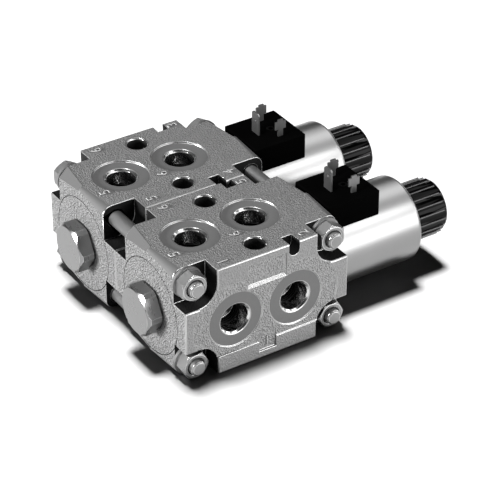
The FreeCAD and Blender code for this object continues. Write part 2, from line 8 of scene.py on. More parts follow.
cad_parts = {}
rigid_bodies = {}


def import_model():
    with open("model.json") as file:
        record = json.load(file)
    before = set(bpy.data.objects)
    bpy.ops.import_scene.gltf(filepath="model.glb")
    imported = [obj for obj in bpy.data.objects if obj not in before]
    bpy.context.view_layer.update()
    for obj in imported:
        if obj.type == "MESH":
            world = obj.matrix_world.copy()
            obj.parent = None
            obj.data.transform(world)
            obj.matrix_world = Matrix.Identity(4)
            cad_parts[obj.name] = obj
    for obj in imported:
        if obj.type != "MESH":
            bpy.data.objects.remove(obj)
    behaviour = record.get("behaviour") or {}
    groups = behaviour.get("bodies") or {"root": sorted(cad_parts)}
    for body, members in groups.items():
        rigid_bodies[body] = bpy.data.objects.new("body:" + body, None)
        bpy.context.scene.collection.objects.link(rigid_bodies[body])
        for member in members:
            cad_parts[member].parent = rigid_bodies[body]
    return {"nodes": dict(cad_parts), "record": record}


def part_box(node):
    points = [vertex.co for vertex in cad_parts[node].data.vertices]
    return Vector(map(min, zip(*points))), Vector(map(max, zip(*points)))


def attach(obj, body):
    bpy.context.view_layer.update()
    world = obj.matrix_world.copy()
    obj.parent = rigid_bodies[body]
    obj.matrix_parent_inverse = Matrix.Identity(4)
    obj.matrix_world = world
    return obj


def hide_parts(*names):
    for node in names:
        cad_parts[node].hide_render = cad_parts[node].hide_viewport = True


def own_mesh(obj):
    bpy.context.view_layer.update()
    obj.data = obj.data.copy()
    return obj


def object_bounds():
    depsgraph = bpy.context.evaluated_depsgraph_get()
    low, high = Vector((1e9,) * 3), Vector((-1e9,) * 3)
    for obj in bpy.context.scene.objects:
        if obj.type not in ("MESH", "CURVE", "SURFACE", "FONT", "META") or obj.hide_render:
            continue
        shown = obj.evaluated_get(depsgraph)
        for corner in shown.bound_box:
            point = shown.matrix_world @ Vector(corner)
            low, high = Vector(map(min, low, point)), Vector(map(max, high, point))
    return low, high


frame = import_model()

cadLow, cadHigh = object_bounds()
mm = 0.001
sections = ("front", "rear")
stackBody = "valve_stack"

# measures read back from the frame
bodyLow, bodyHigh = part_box("front_valve_body")
bodyMiddle = (bodyLow + bodyHigh) / 2
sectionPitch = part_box("rear_valve_body")[0].y - bodyLow.y
spoolLow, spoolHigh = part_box("front_spool")
axisHeight = (spoolLow.z + spoolHigh.z) / 2
mounts = {m["name"]: m for m in frame["record"]["mounts"]}
tieSides = ("lower_left", "lower_right", "upper_left", "upper_right")
tieNuts = [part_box(side + "_tie_nut") for side in tieSides]
tieAxes = [((low.x + high.x) / 2, (low.z + high.z) / 2) for low, high in tieNuts]
print("frame loaded,", len(frame["nodes"]), "nodes")


# shader groups

def newGroup(name, inputs, outputs):
    tree = bpy.data.node_groups.new(name, "ShaderNodeTree")
    for label, kind, value in inputs:
        socket = tree.interface.new_socket(label, in_out="INPUT", socket_type=kind)
        if value is not None:
            socket.default_value = value
    for label, kind in outputs:
        tree.interface.new_socket(label, in_out="OUTPUT", socket_type=kind)
    return tree, tree.nodes.new("NodeGroupInput"), tree.nodes.new("NodeGroupOutput")


def addNode(tree, kind, settings=(), values=(), links=()):
    node = tree.nodes.new(kind)
    for key, value in dict(settings).items():
        setattr(node, key, value)
    for key, value in dict(values).items():
        node.inputs[key].default_value = value
    for key, source in dict(links).items():
        tree.links.new(source, node.inputs[key])
    return node


def math2(tree, operation, first, second=None, clamp=False):
    node = tree.nodes.new("ShaderNodeMath")
    node.operation = operation
    node.use_clamp = clamp
    for slot, value in enumerate((first, second)):
        if value is None:
            continue
        if isinstance(value, (int, float)):
            node.inputs[slot].default_value = value
        else:
            tree.links.new(value, node.inputs[slot])
    return node.outputs[0]


grainParts = {
    "coarse": {"Scale": 0.55, "Detail": 3.0, "Roughness": 0.62}, "pits": {"Scale": 0.8, "Smoothness": 0.6},
    "slow": {"Scale": 0.05, "Detail": 2.0}, "coarseShare": 0.6, "pitShare": 0.6, "slowShare": 0.15,
}


def makeGrainGroup():
    # blasted casting skin: pitted grain, finer specks and slow tone changes
    parts = grainParts
    tree, start, end = newGroup(
        "castGrain",
        [("Grain", "NodeSocketFloat", 0.001), ("Stretch", "NodeSocketVector", (1, 1, 1))],
        [("Height", "NodeSocketFloat"), ("Tone", "NodeSocketFloat")])
    coords = addNode(tree, "ShaderNodeTexCoord")
    stretched = addNode(tree, "ShaderNodeVectorMath", {"operation": "MULTIPLY"},
                        links={0: coords.outputs["Object"], 1: start.outputs["Stretch"]})
    sized = addNode(tree, "ShaderNodeVectorMath", {"operation": "SCALE"},
                    links={0: stretched.outputs[0],
                           "Scale": math2(tree, "DIVIDE", 1.0, start.outputs["Grain"])})
    coarse = addNode(tree, "ShaderNodeTexNoise", values=parts["coarse"], links={"Vector": sized.outputs[0]})
    pits = addNode(tree, "ShaderNodeTexVoronoi", {"feature": "SMOOTH_F1"}, parts["pits"],
                   {"Vector": sized.outputs[0]})
    slow = addNode(tree, "ShaderNodeTexNoise", values=parts["slow"], links={"Vector": sized.outputs[0]})
    height = math2(tree, "ADD", math2(tree, "MULTIPLY", coarse.outputs[0], parts["coarseShare"]),
                   math2(tree, "MULTIPLY", pits.outputs["Distance"], parts["pitShare"]))
    tone = math2(tree, "ADD", math2(tree, "MULTIPLY", height, 1 - parts["slowShare"]),
                 math2(tree, "MULTIPLY", slow.outputs[0], parts["slowShare"]))
    tree.links.new(height, end.inputs["Height"])
    tree.links.new(tone, end.inputs["Tone"])
    return tree


def makeSpotGroup():
    # 1 inside a machined round about an axis, 0 outside it
    tree, start, end = newGroup(
        "machinedSpot",
        [("Centre", "NodeSocketVector", (0, 0, 0)), ("Across", "NodeSocketVector", (1, 1, 0)),
         ("Radius", "NodeSocketFloat", 0.014)],
        [("Mask", "NodeSocketFloat")])
    coords = addNode(tree, "ShaderNodeTexCoord")
    offset = addNode(tree, "ShaderNodeVectorMath", {"operation": "SUBTRACT"},
                     links={0: coords.outputs["Object"], 1: start.outputs["Centre"]})
    flat = addNode(tree, "ShaderNodeVectorMath", {"operation": "MULTIPLY"},
                   links={0: offset.outputs[0], 1: start.outputs["Across"]})
    distance = addNode(tree, "ShaderNodeVectorMath", {"operation": "LENGTH"}, links={0: flat.outputs[0]})
    inside = math2(tree, "LESS_THAN", distance.outputs["Value"], start.outputs["Radius"])
    tree.links.new(inside, end.inputs["Mask"])
    return tree


def makeSkinGroup(name, fine, slow):
    # fine marks and a slow change of tone, squeezed along the way a tool or mould leaves them
    tree, start, end = newGroup(
        name,
        [("Squeeze", "NodeSocketVector", (1, 1, 1)), ("Pitch", "NodeSocketFloat", 0.0004)],
        [("Height", "NodeSocketFloat"), ("Tone", "NodeSocketFloat")])
    coords = addNode(tree, "ShaderNodeTexCoord")
    squeezed = addNode(tree, "ShaderNodeVectorMath", {"operation": "MULTIPLY"},
                       links={0: coords.outputs["Object"], 1: start.outputs["Squeeze"]})
    sized = addNode(tree, "ShaderNodeVectorMath", {"operation": "SCALE"},
                    links={0: squeezed.outputs[0],
                           "Scale": math2(tree, "DIVIDE", 1.0, start.outputs["Pitch"])})
    for output, values in (("Height", fine), ("Tone", slow)):
        noise = addNode(tree, "ShaderNodeTexNoise", values=values, links={"Vector": sized.outputs[0]})
        tree.links.new(noise.outputs[0], end.inputs[output])
    return tree


grainGroup = makeGrainGroup()
spotGroup = makeSpotGroup()
turnedGroup = makeSkinGroup("turnedMarks", {"Scale": 1.0, "Detail": 2.0}, {"Scale": 0.03, "Detail": 2.0})
mouldGroup = makeSkinGroup("mouldedSkin", {"Scale": 1.0, "Detail": 2.0}, {"Scale": 0.02, "Detail": 3.0})


def placeGroup(tree, group, values=()):
    node = tree.nodes.new("ShaderNodeGroup")
    node.node_tree = group
    for key, value in dict(values).items():
        node.inputs[key].default_value = value
    return node


def newMaterial(name, viewColour):
    material = bpy.data.materials.new(name)
    material.use_nodes = True
    material.diffuse_color = (*viewColour, 1)
    return material, material.node_tree, material.node_tree.nodes["Principled BSDF"]


def mapTone(tree, source, low, high, sourceLow=0.3, sourceHigh=0.7):
    node = addNode(tree, "ShaderNodeMapRange",
                   values={"From Min": sourceLow, "From Max": sourceHigh, "To Min": low, "To Max": high},
                   links={"Value": source})
    return node.outputs[0]


def blendValue(tree, mask, first, second):
    node = addNode(tree, "ShaderNodeMix", {"data_type": "FLOAT"}, links={"Factor": mask})
    for slot, value in ((2, first), (3, second)):
        if isinstance(value, (int, float)):
            node.inputs[slot].default_value = value
        else:
            tree.links.new(value, node.inputs[slot])
    return node.outputs[0]


def greyFrom(tree, source):
    return addNode(tree, "ShaderNodeCombineColor", links={0: source, 1: source, 2: source}).outputs[0]


def addBump(tree, shader, height, distance):
    bump = addNode(tree, "ShaderNodeBump", values={"Distance": distance, "Strength": 1.0},
                   links={"Height": height})
    tree.links.new(bump.outputs["Normal"], shader.inputs["Normal"])


# materials

# tones and roughnesses of the skin, painted shade and light by facing and in the bores, lengths in metres, and
# how deep the grain is on each side of the casting
castLook = {
    "grain": 0.0006, "stretch": (1.0, 1.0, 0.8), "bumpDepth": 0.0030, "metallic": 0.18, "glint": 0.3,
    "toneLow": 0.205, "toneHigh": 0.255, "toneSpan": (0.42, 0.78), "topPaintedShade": 0.6,
    "machinedLow": 0.087, "machinedHigh": 0.094, "topMachinedPaintedLight": 1.3,
    "roughLow": 0.48, "roughHigh": 0.58, "machinedRough": 0.38,
    "topSpotRadius": 0.01455, "sideSpotRadius": 0.01505, "holeRadius": 0.0062, "machinedAbove": 0.04,
    "mouthRadius": 0.0088, "mouthTone": 0.62, "mouthRough": 0.2, "holeMouth": 0.0011,
    "boreRadius": 0.0078, "boreShadeTone": 0.02, "boreDepth": 0.0011, "boreReach": 0.02,
    "slantSpan": (0.05, 0.25), "slantPaintedShade": 0.055, "slantRough": 0.7,
    "panelStep": 0.00025, "panelPaintedShade": 0.73, "panelGrain": 0.2,
    "endGrain": 2.2, "topGrain": 0.42, "faceGrain": 0.7,
}


def makeCastIron():
    look = castLook
    material, tree, shader = newMaterial("castIron", (0.4, 0.4, 0.4))
    grain = placeGroup(tree, grainGroup, {"Grain": look["grain"], "Stretch": look["stretch"]})
    coords = addNode(tree, "ShaderNodeTexCoord")
    axes = addNode(tree, "ShaderNodeSeparateXYZ", links={0: coords.outputs["Object"]})
    high = math2(tree, "GREATER_THAN", axes.outputs["Z"], look["machinedAbove"])

    def anyOf(masks):
        whole = masks[0]
        for mask in masks[1:]:
            whole = math2(tree, "MAXIMUM", whole, mask)
        return whole

    def both(first, second):
        return math2(tree, "MULTIPLY", first, second)

    def spotMask(centre, across, radius):
        spot = placeGroup(tree, spotGroup, {"Centre": centre, "Across": across, "Radius": radius})
        return spot.outputs["Mask"]

    spots, mouths, shadedBores = [], [], []
    for mount in mounts.values():
        if mount["kind"] not in ("threaded_hole", "bore"):
            continue
        centre, outward = mount["pos_m"], Vector(mount["axis"])
        across = tuple(0.0 if abs(a) > 0.5 else 1.0 for a in outward)
        upright = abs(outward.z) > 0.5
        threaded = mount["kind"] == "threaded_hole"
        spotRadius = look["topSpotRadius"] if upright else look["sideSpotRadius"]
        spot = spotMask(centre, across, spotRadius if threaded else look["holeRadius"])
        spots.append(both(spot, high) if upright and threaded else spot)
        if not threaded:
            # a fixing hole is bright machined metal at its two mouths and painted dark as shade between them
            fromMiddle = math2(tree, "ABSOLUTE", math2(tree, "SUBTRACT", axes.outputs["Z"], bodyMiddle.z))
            rim = math2(tree, "GREATER_THAN", fromMiddle, bodyHigh.z - bodyMiddle.z - look["holeMouth"])
            mouths.append(both(spot, rim))
            shadedBores.append(both(spot, math2(tree, "SUBTRACT", 1.0, rim)))
            continue
        # the port's bore is painted dark as shade deeper than the mouth's chamfer, measured along the port's
        # own axis
        inside = addNode(tree, "ShaderNodeVectorMath", {"operation": "DOT_PRODUCT"}, {1: tuple(-outward)},
                         {0: coords.outputs["Object"]})
        start = Vector(centre).dot(-outward)
        deep = math2(tree, "GREATER_THAN", inside.outputs["Value"], start + look["boreDepth"])
        near = math2(tree, "LESS_THAN", inside.outputs["Value"], start + look["boreReach"])
        mouths.append(both(spotMask(centre, across, look["mouthRadius"]), near))
        shadedBores.append(both(both(deep, near), spotMask(centre, across, look["boreRadius"])))
    machined, mouth, bore = anyOf(spots), anyOf(mouths), anyOf(shadedBores)
    cast = math2(tree, "SUBTRACT", 1.0, machined)
    castTone = mapTone(tree, grain.outputs["Tone"], look["toneLow"], look["toneHigh"], *look["toneSpan"])
    machinedTone = mapTone(tree, grain.outputs["Tone"], look["machinedLow"], look["machinedHigh"])
    facing = addNode(tree, "ShaderNodeSeparateXYZ",
                     links={0: addNode(tree, "ShaderNodeNewGeometry").outputs["Normal"]})
    upright = math2(tree, "ABSOLUTE", facing.outputs["Z"])
    # painted light and shade by facing: cast faces that look up or down are painted darker, machined ones there
    # lighter
    castTone = both(castTone, blendValue(tree, upright, 1.0, look["topPaintedShade"]))
    machinedTone = both(machinedTone, blendValue(tree, upright, 1.0, look["topMachinedPaintedLight"]))
    # the raised panels of the outer faces are smoother than the cast skin round the ports, and painted darker
    # as shade
    outward = math2(tree, "ABSOLUTE", math2(tree, "SUBTRACT", axes.outputs["Y"], sectionPitch / 2))
    panel = math2(tree, "GREATER_THAN", outward, sectionPitch - look["panelStep"])
    castTone = both(castTone, blendValue(tree, panel, 1.0, look["panelPaintedShade"]))
    tone = math2(tree, "ADD", both(castTone, cast), both(machinedTone, machined))
    castRough = mapTone(tree, grain.outputs["Tone"], look["roughLow"], look["roughHigh"])
    rough = math2(tree, "ADD", both(castRough, cast), both(machined, look["machinedRough"]))
    # the sloping shoulders at both ends are smoother, and painted darker as shade
    slant = math2(tree, "ABSOLUTE", both(facing.outputs["X"], facing.outputs["Z"]))
    smooth = both(mapTone(tree, slant, 0.0, 1.0, *look["slantSpan"]), cast)
    tone = blendValue(tree, smooth, tone, look["slantPaintedShade"])
    cast = math2(tree, "SUBTRACT", cast, smooth, clamp=True)
    tone = blendValue(tree, mouth, tone, look["mouthTone"])
    # painted shade inside the ports and fixing holes
    tone = blendValue(tree, bore, tone, look["boreShadeTone"])
    rough = blendValue(tree, smooth, rough, look["slantRough"])
    rough = blendValue(tree, mouth, rough, look["mouthRough"])
    metal = blendValue(tree, smooth, look["metallic"], 0.0)
    metal = blendValue(tree, mouth, metal, 1.0)
    shader.inputs["Specular IOR Level"].default_value = look["glint"]
    tree.links.new(greyFrom(tree, tone), shader.inputs["Base Color"])
    tree.links.new(rough, shader.inputs["Roughness"])
    tree.links.new(metal, shader.inputs["Metallic"])
    share = mapTone(tree, math2(tree, "ABSOLUTE", facing.outputs["X"]), 1.0, look["endGrain"], 0.0, 1.0)
    share = blendValue(tree, upright, share, look["topGrain"])
    share = blendValue(tree, math2(tree, "ABSOLUTE", facing.outputs["Y"]), share, look["faceGrain"])
    share = blendValue(tree, panel, share, look["panelGrain"])
    addBump(tree, shader, both(both(grain.outputs["Height"], share), cast), look["bumpDepth"])
    return material


metalLooks = {
    "platedSteel": {"low": 0.25, "high": 0.28, "rough": (0.27, 0.29), "pitch": 0.002,
                    "squeeze": (1, 0.3, 0.3), "metallic": 1.0, "bump": 0.0000015},
    "fastenerSteel": {"low": 0.24, "high": 0.29, "rough": (0.42, 0.5), "pitch": 0.0005,
                      "squeeze": (1, 0.3, 1), "metallic": 1.0, "bump": 0.0000015},
    "coilSteel": {"low": 0.26, "high": 0.275, "rough": (0.30, 0.32), "pitch": 0.0006,
                  "squeeze": (1, 0.04, 0.04), "metallic": 1.0, "bump": 0.000002},
    "groundSteel": {"low": 0.5, "high": 0.6, "rough": (0.2, 0.3), "pitch": 0.0004,
                    "squeeze": (1, 0.05, 0.05), "metallic": 1.0, "bump": 0.000005},
    "springWire": {"low": 0.25, "high": 0.35, "rough": (0.3, 0.42), "pitch": 0.0006,
                   "squeeze": (1, 1, 1), "metallic": 1.0, "bump": 0.0000015},
    # broken cast edges: smoother and more metallic, and lighter as a painted highlight
    "castEdgeHighlight": {"low": 0.3, "high": 0.42, "rough": (0.26, 0.36), "pitch": 0.0012,
                 "squeeze": (1, 1, 1), "metallic": 0.9, "bump": 0.00001},
    # slopes of the raised numbers: a lighter iron, as a painted highlight
    "numberSlopeHighlight": {"low": 0.3, "high": 0.36, "rough": (0.4, 0.5), "pitch": 0.0012,
                   "squeeze": (1, 1, 1), "metallic": 0.3, "bump": 0.00001},
    # broken steel edges of plugs and nuts: smoother, and lighter as a painted highlight
    "steelEdgeHighlight": {"low": 0.5, "high": 0.6, "rough": (0.2, 0.26), "pitch": 0.0008,
                  "squeeze": (1, 1, 1), "metallic": 1.0, "bump": 0.000001},
    "bladeMetal": {"low": 0.18, "high": 0.23, "rough": (0.34, 0.44), "pitch": 0.0004,
                   "squeeze": (1, 1, 0.1), "metallic": 0.9, "bump": 0.000006},
    # the connector's metal insert, painted near black as shade
    "insertMetalShade": {"low": 0.004, "high": 0.008, "rough": (0.6, 0.7), "pitch": 0.0004,
                    "squeeze": (0.2, 0.2, 1), "metallic": 1.0, "bump": 0.000006},
}


def makeMetal(name):
    look = metalLooks[name]
    material, tree, shader = newMaterial(name, (look["high"],) * 3)
    marks = placeGroup(tree, turnedGroup, {"Squeeze": look["squeeze"], "Pitch": look["pitch"]})
    tone = mapTone(tree, marks.outputs["Tone"], look["low"], look["high"])
    tree.links.new(greyFrom(tree, tone), shader.inputs["Base Color"])
    rough = mapTone(tree, marks.outputs["Height"], *look["rough"])
    tree.links.new(rough, shader.inputs["Roughness"])
    shader.inputs["Metallic"].default_value = look["metallic"]
    addBump(tree, shader, marks.outputs["Height"], look["bump"])
    return material


plasticLooks = {
    "connectorPlastic": {"low": 0.0003, "high": 0.0006, "rough": (0.6, 0.7), "grain": 0.0004, "bump": 0.00002,
                         "specular": 0.008},
    "knobPlastic": {"low": 0.0004, "high": 0.001, "rough": (0.07, 0.08), "grain": 0.0004, "bump": 0.0000002,
                    "specular": 0.11},
    # ribs: a lighter, shinier copy of the knob plastic, a painted highlight along the ridges
    "knobRidgeHighlight": {"low": 0.004, "high": 0.008, "rough": (0.2, 0.22), "grain": 0.0004, "bump": 0.0000005,
                  "specular": 1.0},
    "sealRubber": {"low": 0.006, "high": 0.012, "rough": (0.5, 0.65), "grain": 0.0005, "bump": 0.00002,
                   "specular": 0.3},
    # port threads painted near black as shade inside the bores
    "threadShade": {"low": 0.006, "high": 0.012, "rough": (0.5, 0.6), "grain": 0.0009, "bump": 0.000001,
                   "specular": 0.06},
    # near-black painted shade in the pockets, notches and ring groove, and on the numbers' steep sides
    "pocketShade": {"low": 0.004, "high": 0.012, "rough": (0.8, 0.9), "grain": 0.0009, "bump": 0.0003,
                   "specular": 0.06},
    "windingResin": {"low": 0.02, "high": 0.04, "rough": (0.5, 0.6), "grain": 0.0008, "bump": 0.00003,
                     "specular": 0.4},
}


def makePlastic(name):
    look = plasticLooks[name]
    material, tree, shader = newMaterial(name, (look["high"],) * 3)
    skin = placeGroup(tree, mouldGroup, {"Pitch": look["grain"]})
    tone = mapTone(tree, skin.outputs["Tone"], look["low"], look["high"])
    tree.links.new(greyFrom(tree, tone), shader.inputs["Base Color"])
    tree.links.new(mapTone(tree, skin.outputs["Height"], *look["rough"]), shader.inputs["Roughness"])
    shader.inputs["Specular IOR Level"].default_value = look["specular"]
    addBump(tree, shader, skin.outputs["Height"], look["bump"])
    return material


materials = {"castIron": makeCastIron()}
for name in metalLooks:
    materials[name] = makeMetal(name)
for name in plasticLooks:
    materials[name] = makePlastic(name)
slotMaterials = {
    "cast_body": "castIron", "plug_steel": "platedSteel", "fastener_steel": "fastenerSteel",
    "ground_steel": "groundSteel", "spring_steel": "springWire", "coil_steel": "coilSteel",
    "winding_resin": "windingResin", "connector_plastic": "connectorPlastic", "knob_plastic": "knobPlastic",
    "blade_metal": "bladeMetal", "insert_metal": "insertMetalShade", "seal_rubber": "sealRubber",
}
for part in frame["record"]["subparts"]:
    mesh = frame["nodes"][part["node"]].data
    mesh.materials.clear()
    mesh.materials.append(materials[slotMaterials[part["material_slot"]]])
print("materials made")


# finished copies of CAD nodes: merged, edges broken, smooth shading

# width of the broken edges, of the pockets' wider rims, and the angle from which an edge is broken
finish = {
    "valve_body": {"width": 0.00032, "rim": 0.0008, "segments": 3, "angle": 38, "edge": "castEdgeHighlight",
                   "strip": 0.0006},
    "end_plug": {"width": 0.0001, "rim": 0.0001, "segments": 2, "angle": 24, "edge": "steelEdgeHighlight"},
    "connector_base": {"width": 0.0003, "rim": 0.0003, "segments": 2, "angle": 30, "edge": None},
}
nutFinish = {"width": 0.00014, "rim": 0.00014, "segments": 2, "angle": 20, "edge": "steelEdgeHighlight"}
mergeLook = {"gap": 0.000002, "flat": 0.6}
pocketRims = {"radius": 0.0107, "slack": 0.0002}
panelEnd = {"step": 0.0003, "reach": 0.0011}
ringLine = {"radius": 0.0249, "slack": 0.0006, "depth": 0.001, "floor": (0.0002, 0.0006)}
roundedEdge = {"square": 0.995, "leanY": 0.1, "reach": 0.001, "jointStrip": 0.002, "nearTie": 0.014}
slantFoot = {"slope": 0.1, "square": 0.9}
darkPlaces = {"reach": 0.01078, "pocketFrom": 0.0212, "notchX": (0.018, 0.027), "notchZ": 0.0525,
              "notchFrom": 0.025, "skin": 0.0003}


def linkObject(name, mesh):
    piece = bpy.data.objects.new(name, mesh)
    bpy.context.scene.collection.objects.link(piece)
    return piece


def offCentre(y):
    # how far a place is from the middle of its own section
    return abs((y + sectionPitch / 2) % sectionPitch - sectionPitch / 2)


def onPocketRim(edge):
    # true for an edge both of whose ends stand on a corner pocket's wall
    def offWall(vert, axis):
        return abs(math.hypot(vert.co.x - axis[0], vert.co.z - axis[1]) - pocketRims["radius"])
    return any(all(offWall(vert, axis) < pocketRims["slack"] for vert in edge.verts) for axis in tieAxes)


def isRoundedEdge(face, strip):
    # a narrow face that leans away from the axes, on the casting's outer rounding
    look = roundedEdge
    lean = max(abs(part) for part in face.normal)
    if lean > look["square"] or face.calc_area() / max(edge.calc_length() for edge in face.edges) > strip:
        return False
    middle = face.calc_center_median()
    joint = -look["jointStrip"] < middle.y - sectionPitch / 2 < 0
    nearTie = any(math.hypot(middle.x - x, middle.z - z) < look["nearTie"] for x, z in tieAxes)
    outer = offCentre(middle.y) > sectionPitch / 2 - look["reach"]
    return abs(face.normal.y) > look["leanY"] and outer and (nearTie or not joint)


def inPocket(face):
    # a wall or floor of a corner pocket, of the notches in the top edge, or of the line round the plug, all
    # painted near black as shade
    look = darkPlaces
    if inRingGroove(face):
        return True
    middle = face.calc_center_median()
    fromCentre = offCentre(middle.y)
    if fromCentre > sectionPitch / 2 - look["skin"]:
        return False
    if (look["notchX"][0] < middle.x < look["notchX"][1] and middle.z > look["notchZ"]
            and middle.z < bodyHigh.z - look["skin"] and fromCentre > look["notchFrom"]):
        return True
    if fromCentre < look["pocketFrom"]:
        return False
    reach = look["reach"]
    for x, z in tieAxes:
        outX = (middle.x - x) * (1 if x > bodyMiddle.x else -1)
        outZ = (middle.z - z) * (1 if z > bodyMiddle.z else -1)
        beside = (abs(outX) < reach and outZ > 0) or (abs(outZ) < reach and outX > 0)
        if beside or math.hypot(outX, outZ) < reach:
            return True
    return False


def offRing(vert):
    centreY = 0 if vert.co.y < sectionPitch / 2 else sectionPitch
    return abs(math.hypot(vert.co.y - centreY, vert.co.z - axisHeight) - ringLine["radius"])


def inRingGroove(face):
    deepest = max(vert.co.x for vert in face.verts) - bodyLow.x
    near = all(offRing(vert) < ringLine["slack"] for vert in face.verts)
    return near and ringLine["floor"][0] < deepest < ringLine["floor"][1]


def onRingLine(edge):
    # the scribed ring round the end plug stays a plain dark line
    return all(vert.co.x < bodyLow.x + ringLine["depth"] and offRing(vert) < ringLine["slack"]
               for vert in edge.verts)


def onSlantFoot(edge):
    # where the sloping shoulder meets the end face the casting turns without a bright rim
    first, second = (face.normal for face in edge.link_faces)
    return any(abs(one.x * one.z) > slantFoot["slope"] and abs(other.x) > slantFoot["square"]
               for one, other in ((first, second), (second, first)))


def onPanelEnd(edge):
    # one of the short steps that round the end of a raised panel where a pocket cuts it off
    middleY = (edge.verts[0].co.y + edge.verts[1].co.y) / 2
    outer = offCentre(middleY) > sectionPitch / 2 - panelEnd["reach"]
    return outer and edge.calc_length() < panelEnd["step"]


def meetsPanelEnd(edge):
    return any(onPanelEnd(other) for vert in edge.verts for other in vert.link_edges)


def mergedMesh(node, name):
    mesh = frame["nodes"][node].data.copy()
    mesh.name = name
    shape = bmesh.new()
    shape.from_mesh(mesh)
    bmesh.ops.remove_doubles(shape, verts=shape.verts, dist=mergeLook["gap"])
    bmesh.ops.dissolve_limit(shape, angle_limit=math.radians(mergeLook["flat"]), verts=shape.verts,
                             edges=shape.edges)
    return mesh, shape


def finishedCopy(node, name, look):
    mesh, shape = mergedMesh(node, name)
    weights = shape.edges.layers.float.new("bevel_weight_edge")
    for edge in shape.edges:
        if len(edge.link_faces) != 2 or edge.calc_face_angle(0) < math.radians(look["angle"]):
            continue
        if onRingLine(edge) or onSlantFoot(edge) or onPanelEnd(edge):
            continue
        onRim = look["rim"] > look["width"] and edge.is_convex and onPocketRim(edge)
        wide = onRim and not meetsPanelEnd(edge)
        edge[weights] = 1.0 if wide else look["width"] / look["rim"]
    # rounded strips take the edge material with its painted highlight, pocket faces the painted shade
    if look.get("strip"):
        for face in shape.faces:
            face.material_index = 1 if isRoundedEdge(face, look["strip"]) else 2 if inPocket(face) else 0
    shape.to_mesh(mesh)
    shape.free()
    if "custom_normal" in mesh.attributes:
        mesh.attributes.remove(mesh.attributes["custom_normal"])
    piece = linkObject(name, mesh)
    mesh.shade_smooth()
    mesh.set_sharp_from_angle(angle=math.radians(look["angle"]))
    bevel = piece.modifiers.new("brokenEdges", "BEVEL")
    bevel.width = look["rim"]
    bevel.segments = look["segments"]
    bevel.limit_method = "WEIGHT"
    bevel.harden_normals = True
    bevel.use_clamp_overlap = False
    # the bevel faces take the lighter edge material, a painted highlight
    if look["edge"]:
        mesh.materials.append(materials[look["edge"]])
        bevel.material = 1
    if look.get("strip"):
        mesh.materials.append(materials["pocketShade"])
    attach(piece, stackBody)
    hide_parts(node)


def copyName(place, kind):
    first, *words = (place + "_" + kind).split("_")
    return first + "".join(word.capitalize() for word in words)


for section in sections:
    for kind, look in finish.items():
        finishedCopy(section + "_" + kind, copyName(section, kind), look)
for side in tieSides:
    for kind in ("tie_nut", "tie_bolt"):
        finishedCopy(side + "_" + kind, copyName(side, kind), nutFinish)
print("castings, plugs, bases and fasteners finished")


# floor, light and camera

cameraView = {"azimuth": -33.01, "elevation": 33.36, "distance": 1.1219, "lens": 165.07, "sensor": 36,
              "clip": (0.05, 20), "aim": (0.0187, 0.00259, 0.03738)}


def makeCamera():
    view = cameraView
    camera = bpy.data.cameras.new("camera")
    camera.lens = view["lens"]
    camera.sensor_width = view["sensor"]
    camera.clip_start, camera.clip_end = view["clip"]
    rig = linkObject("camera", camera)
    turn, rise = math.radians(view["azimuth"]), math.radians(view["elevation"])
    back = Vector((math.sin(turn) * math.cos(rise), -math.cos(turn) * math.cos(rise), math.sin(rise)))
    rig.location = Vector(view["aim"]) + back * view["distance"]
    rig.rotation_euler = back.to_track_quat("Z", "Y").to_euler()
    bpy.context.scene.camera = rig


# a lamp without "lights" lights the whole object and not the floor
studio = {
    "floorSize": 3.0, "floorTone": 0.16, "floorRough": 0.9,
    "skyTop": 0.12, "skyLow": 0.7, "skyRise": 0.6, "skyStrength": 0.15,
    "suns": {
        "key": {"from": (-0.30, 0.13, 1.0), "spread": 9, "strength": 2.0, "lights": "object"},
        "floorKey": {"from": (0.02, 0.16, 1.0), "spread": 14, "strength": 25.0, "lights": "floor"},
    },
    "panels": {
        "topPanel": {"place": (0.69, 0.04, 1.35), "size": (1.3, 1.3), "power": 6.0},
        "glintPanel": {"place": (0.91, -1.1, 1.4), "size": (0.7, 0.5), "power": 6.0},
        "rightPanel": {"place": (1.7, -0.5, 0.55), "size": (0.8, 0.6), "power": 8.0},
        "leftPanel": {"place": (-1.5, 0.5, 0.3), "size": (0.5, 0.5), "power": 98.0, "lights": "castings"},
        "steelPanel": {"place": (-1.55, -0.1, 1.05), "size": (0.5, 0.4), "power": 95.0, "lights": "fittings"},
        "backPanel": {"place": (0.7, 0.85, 1.35), "size": (1.8, 1.1), "power": 10.0, "lights": "coils"},
        "bandPanel": {"place": (0.9, -1.35, 1.15), "size": (1.6, 0.9), "power": 10.0, "lights": "coils"},
        "frontPanel": {"place": (0.84, -1.72, 0.42), "size": (2.0, 0.9), "power": 58.0, "lights": "castings"},
        "coilFront": {"place": (0.84, -1.72, 0.42), "size": (2.0, 0.9), "power": 30.0, "lights": "coils"},
        "fittingsFront": {"place": (0.84, -1.72, 0.42), "size": (2.0, 0.9), "power": 20.0,
                          "lights": "fittings"},
    },
}


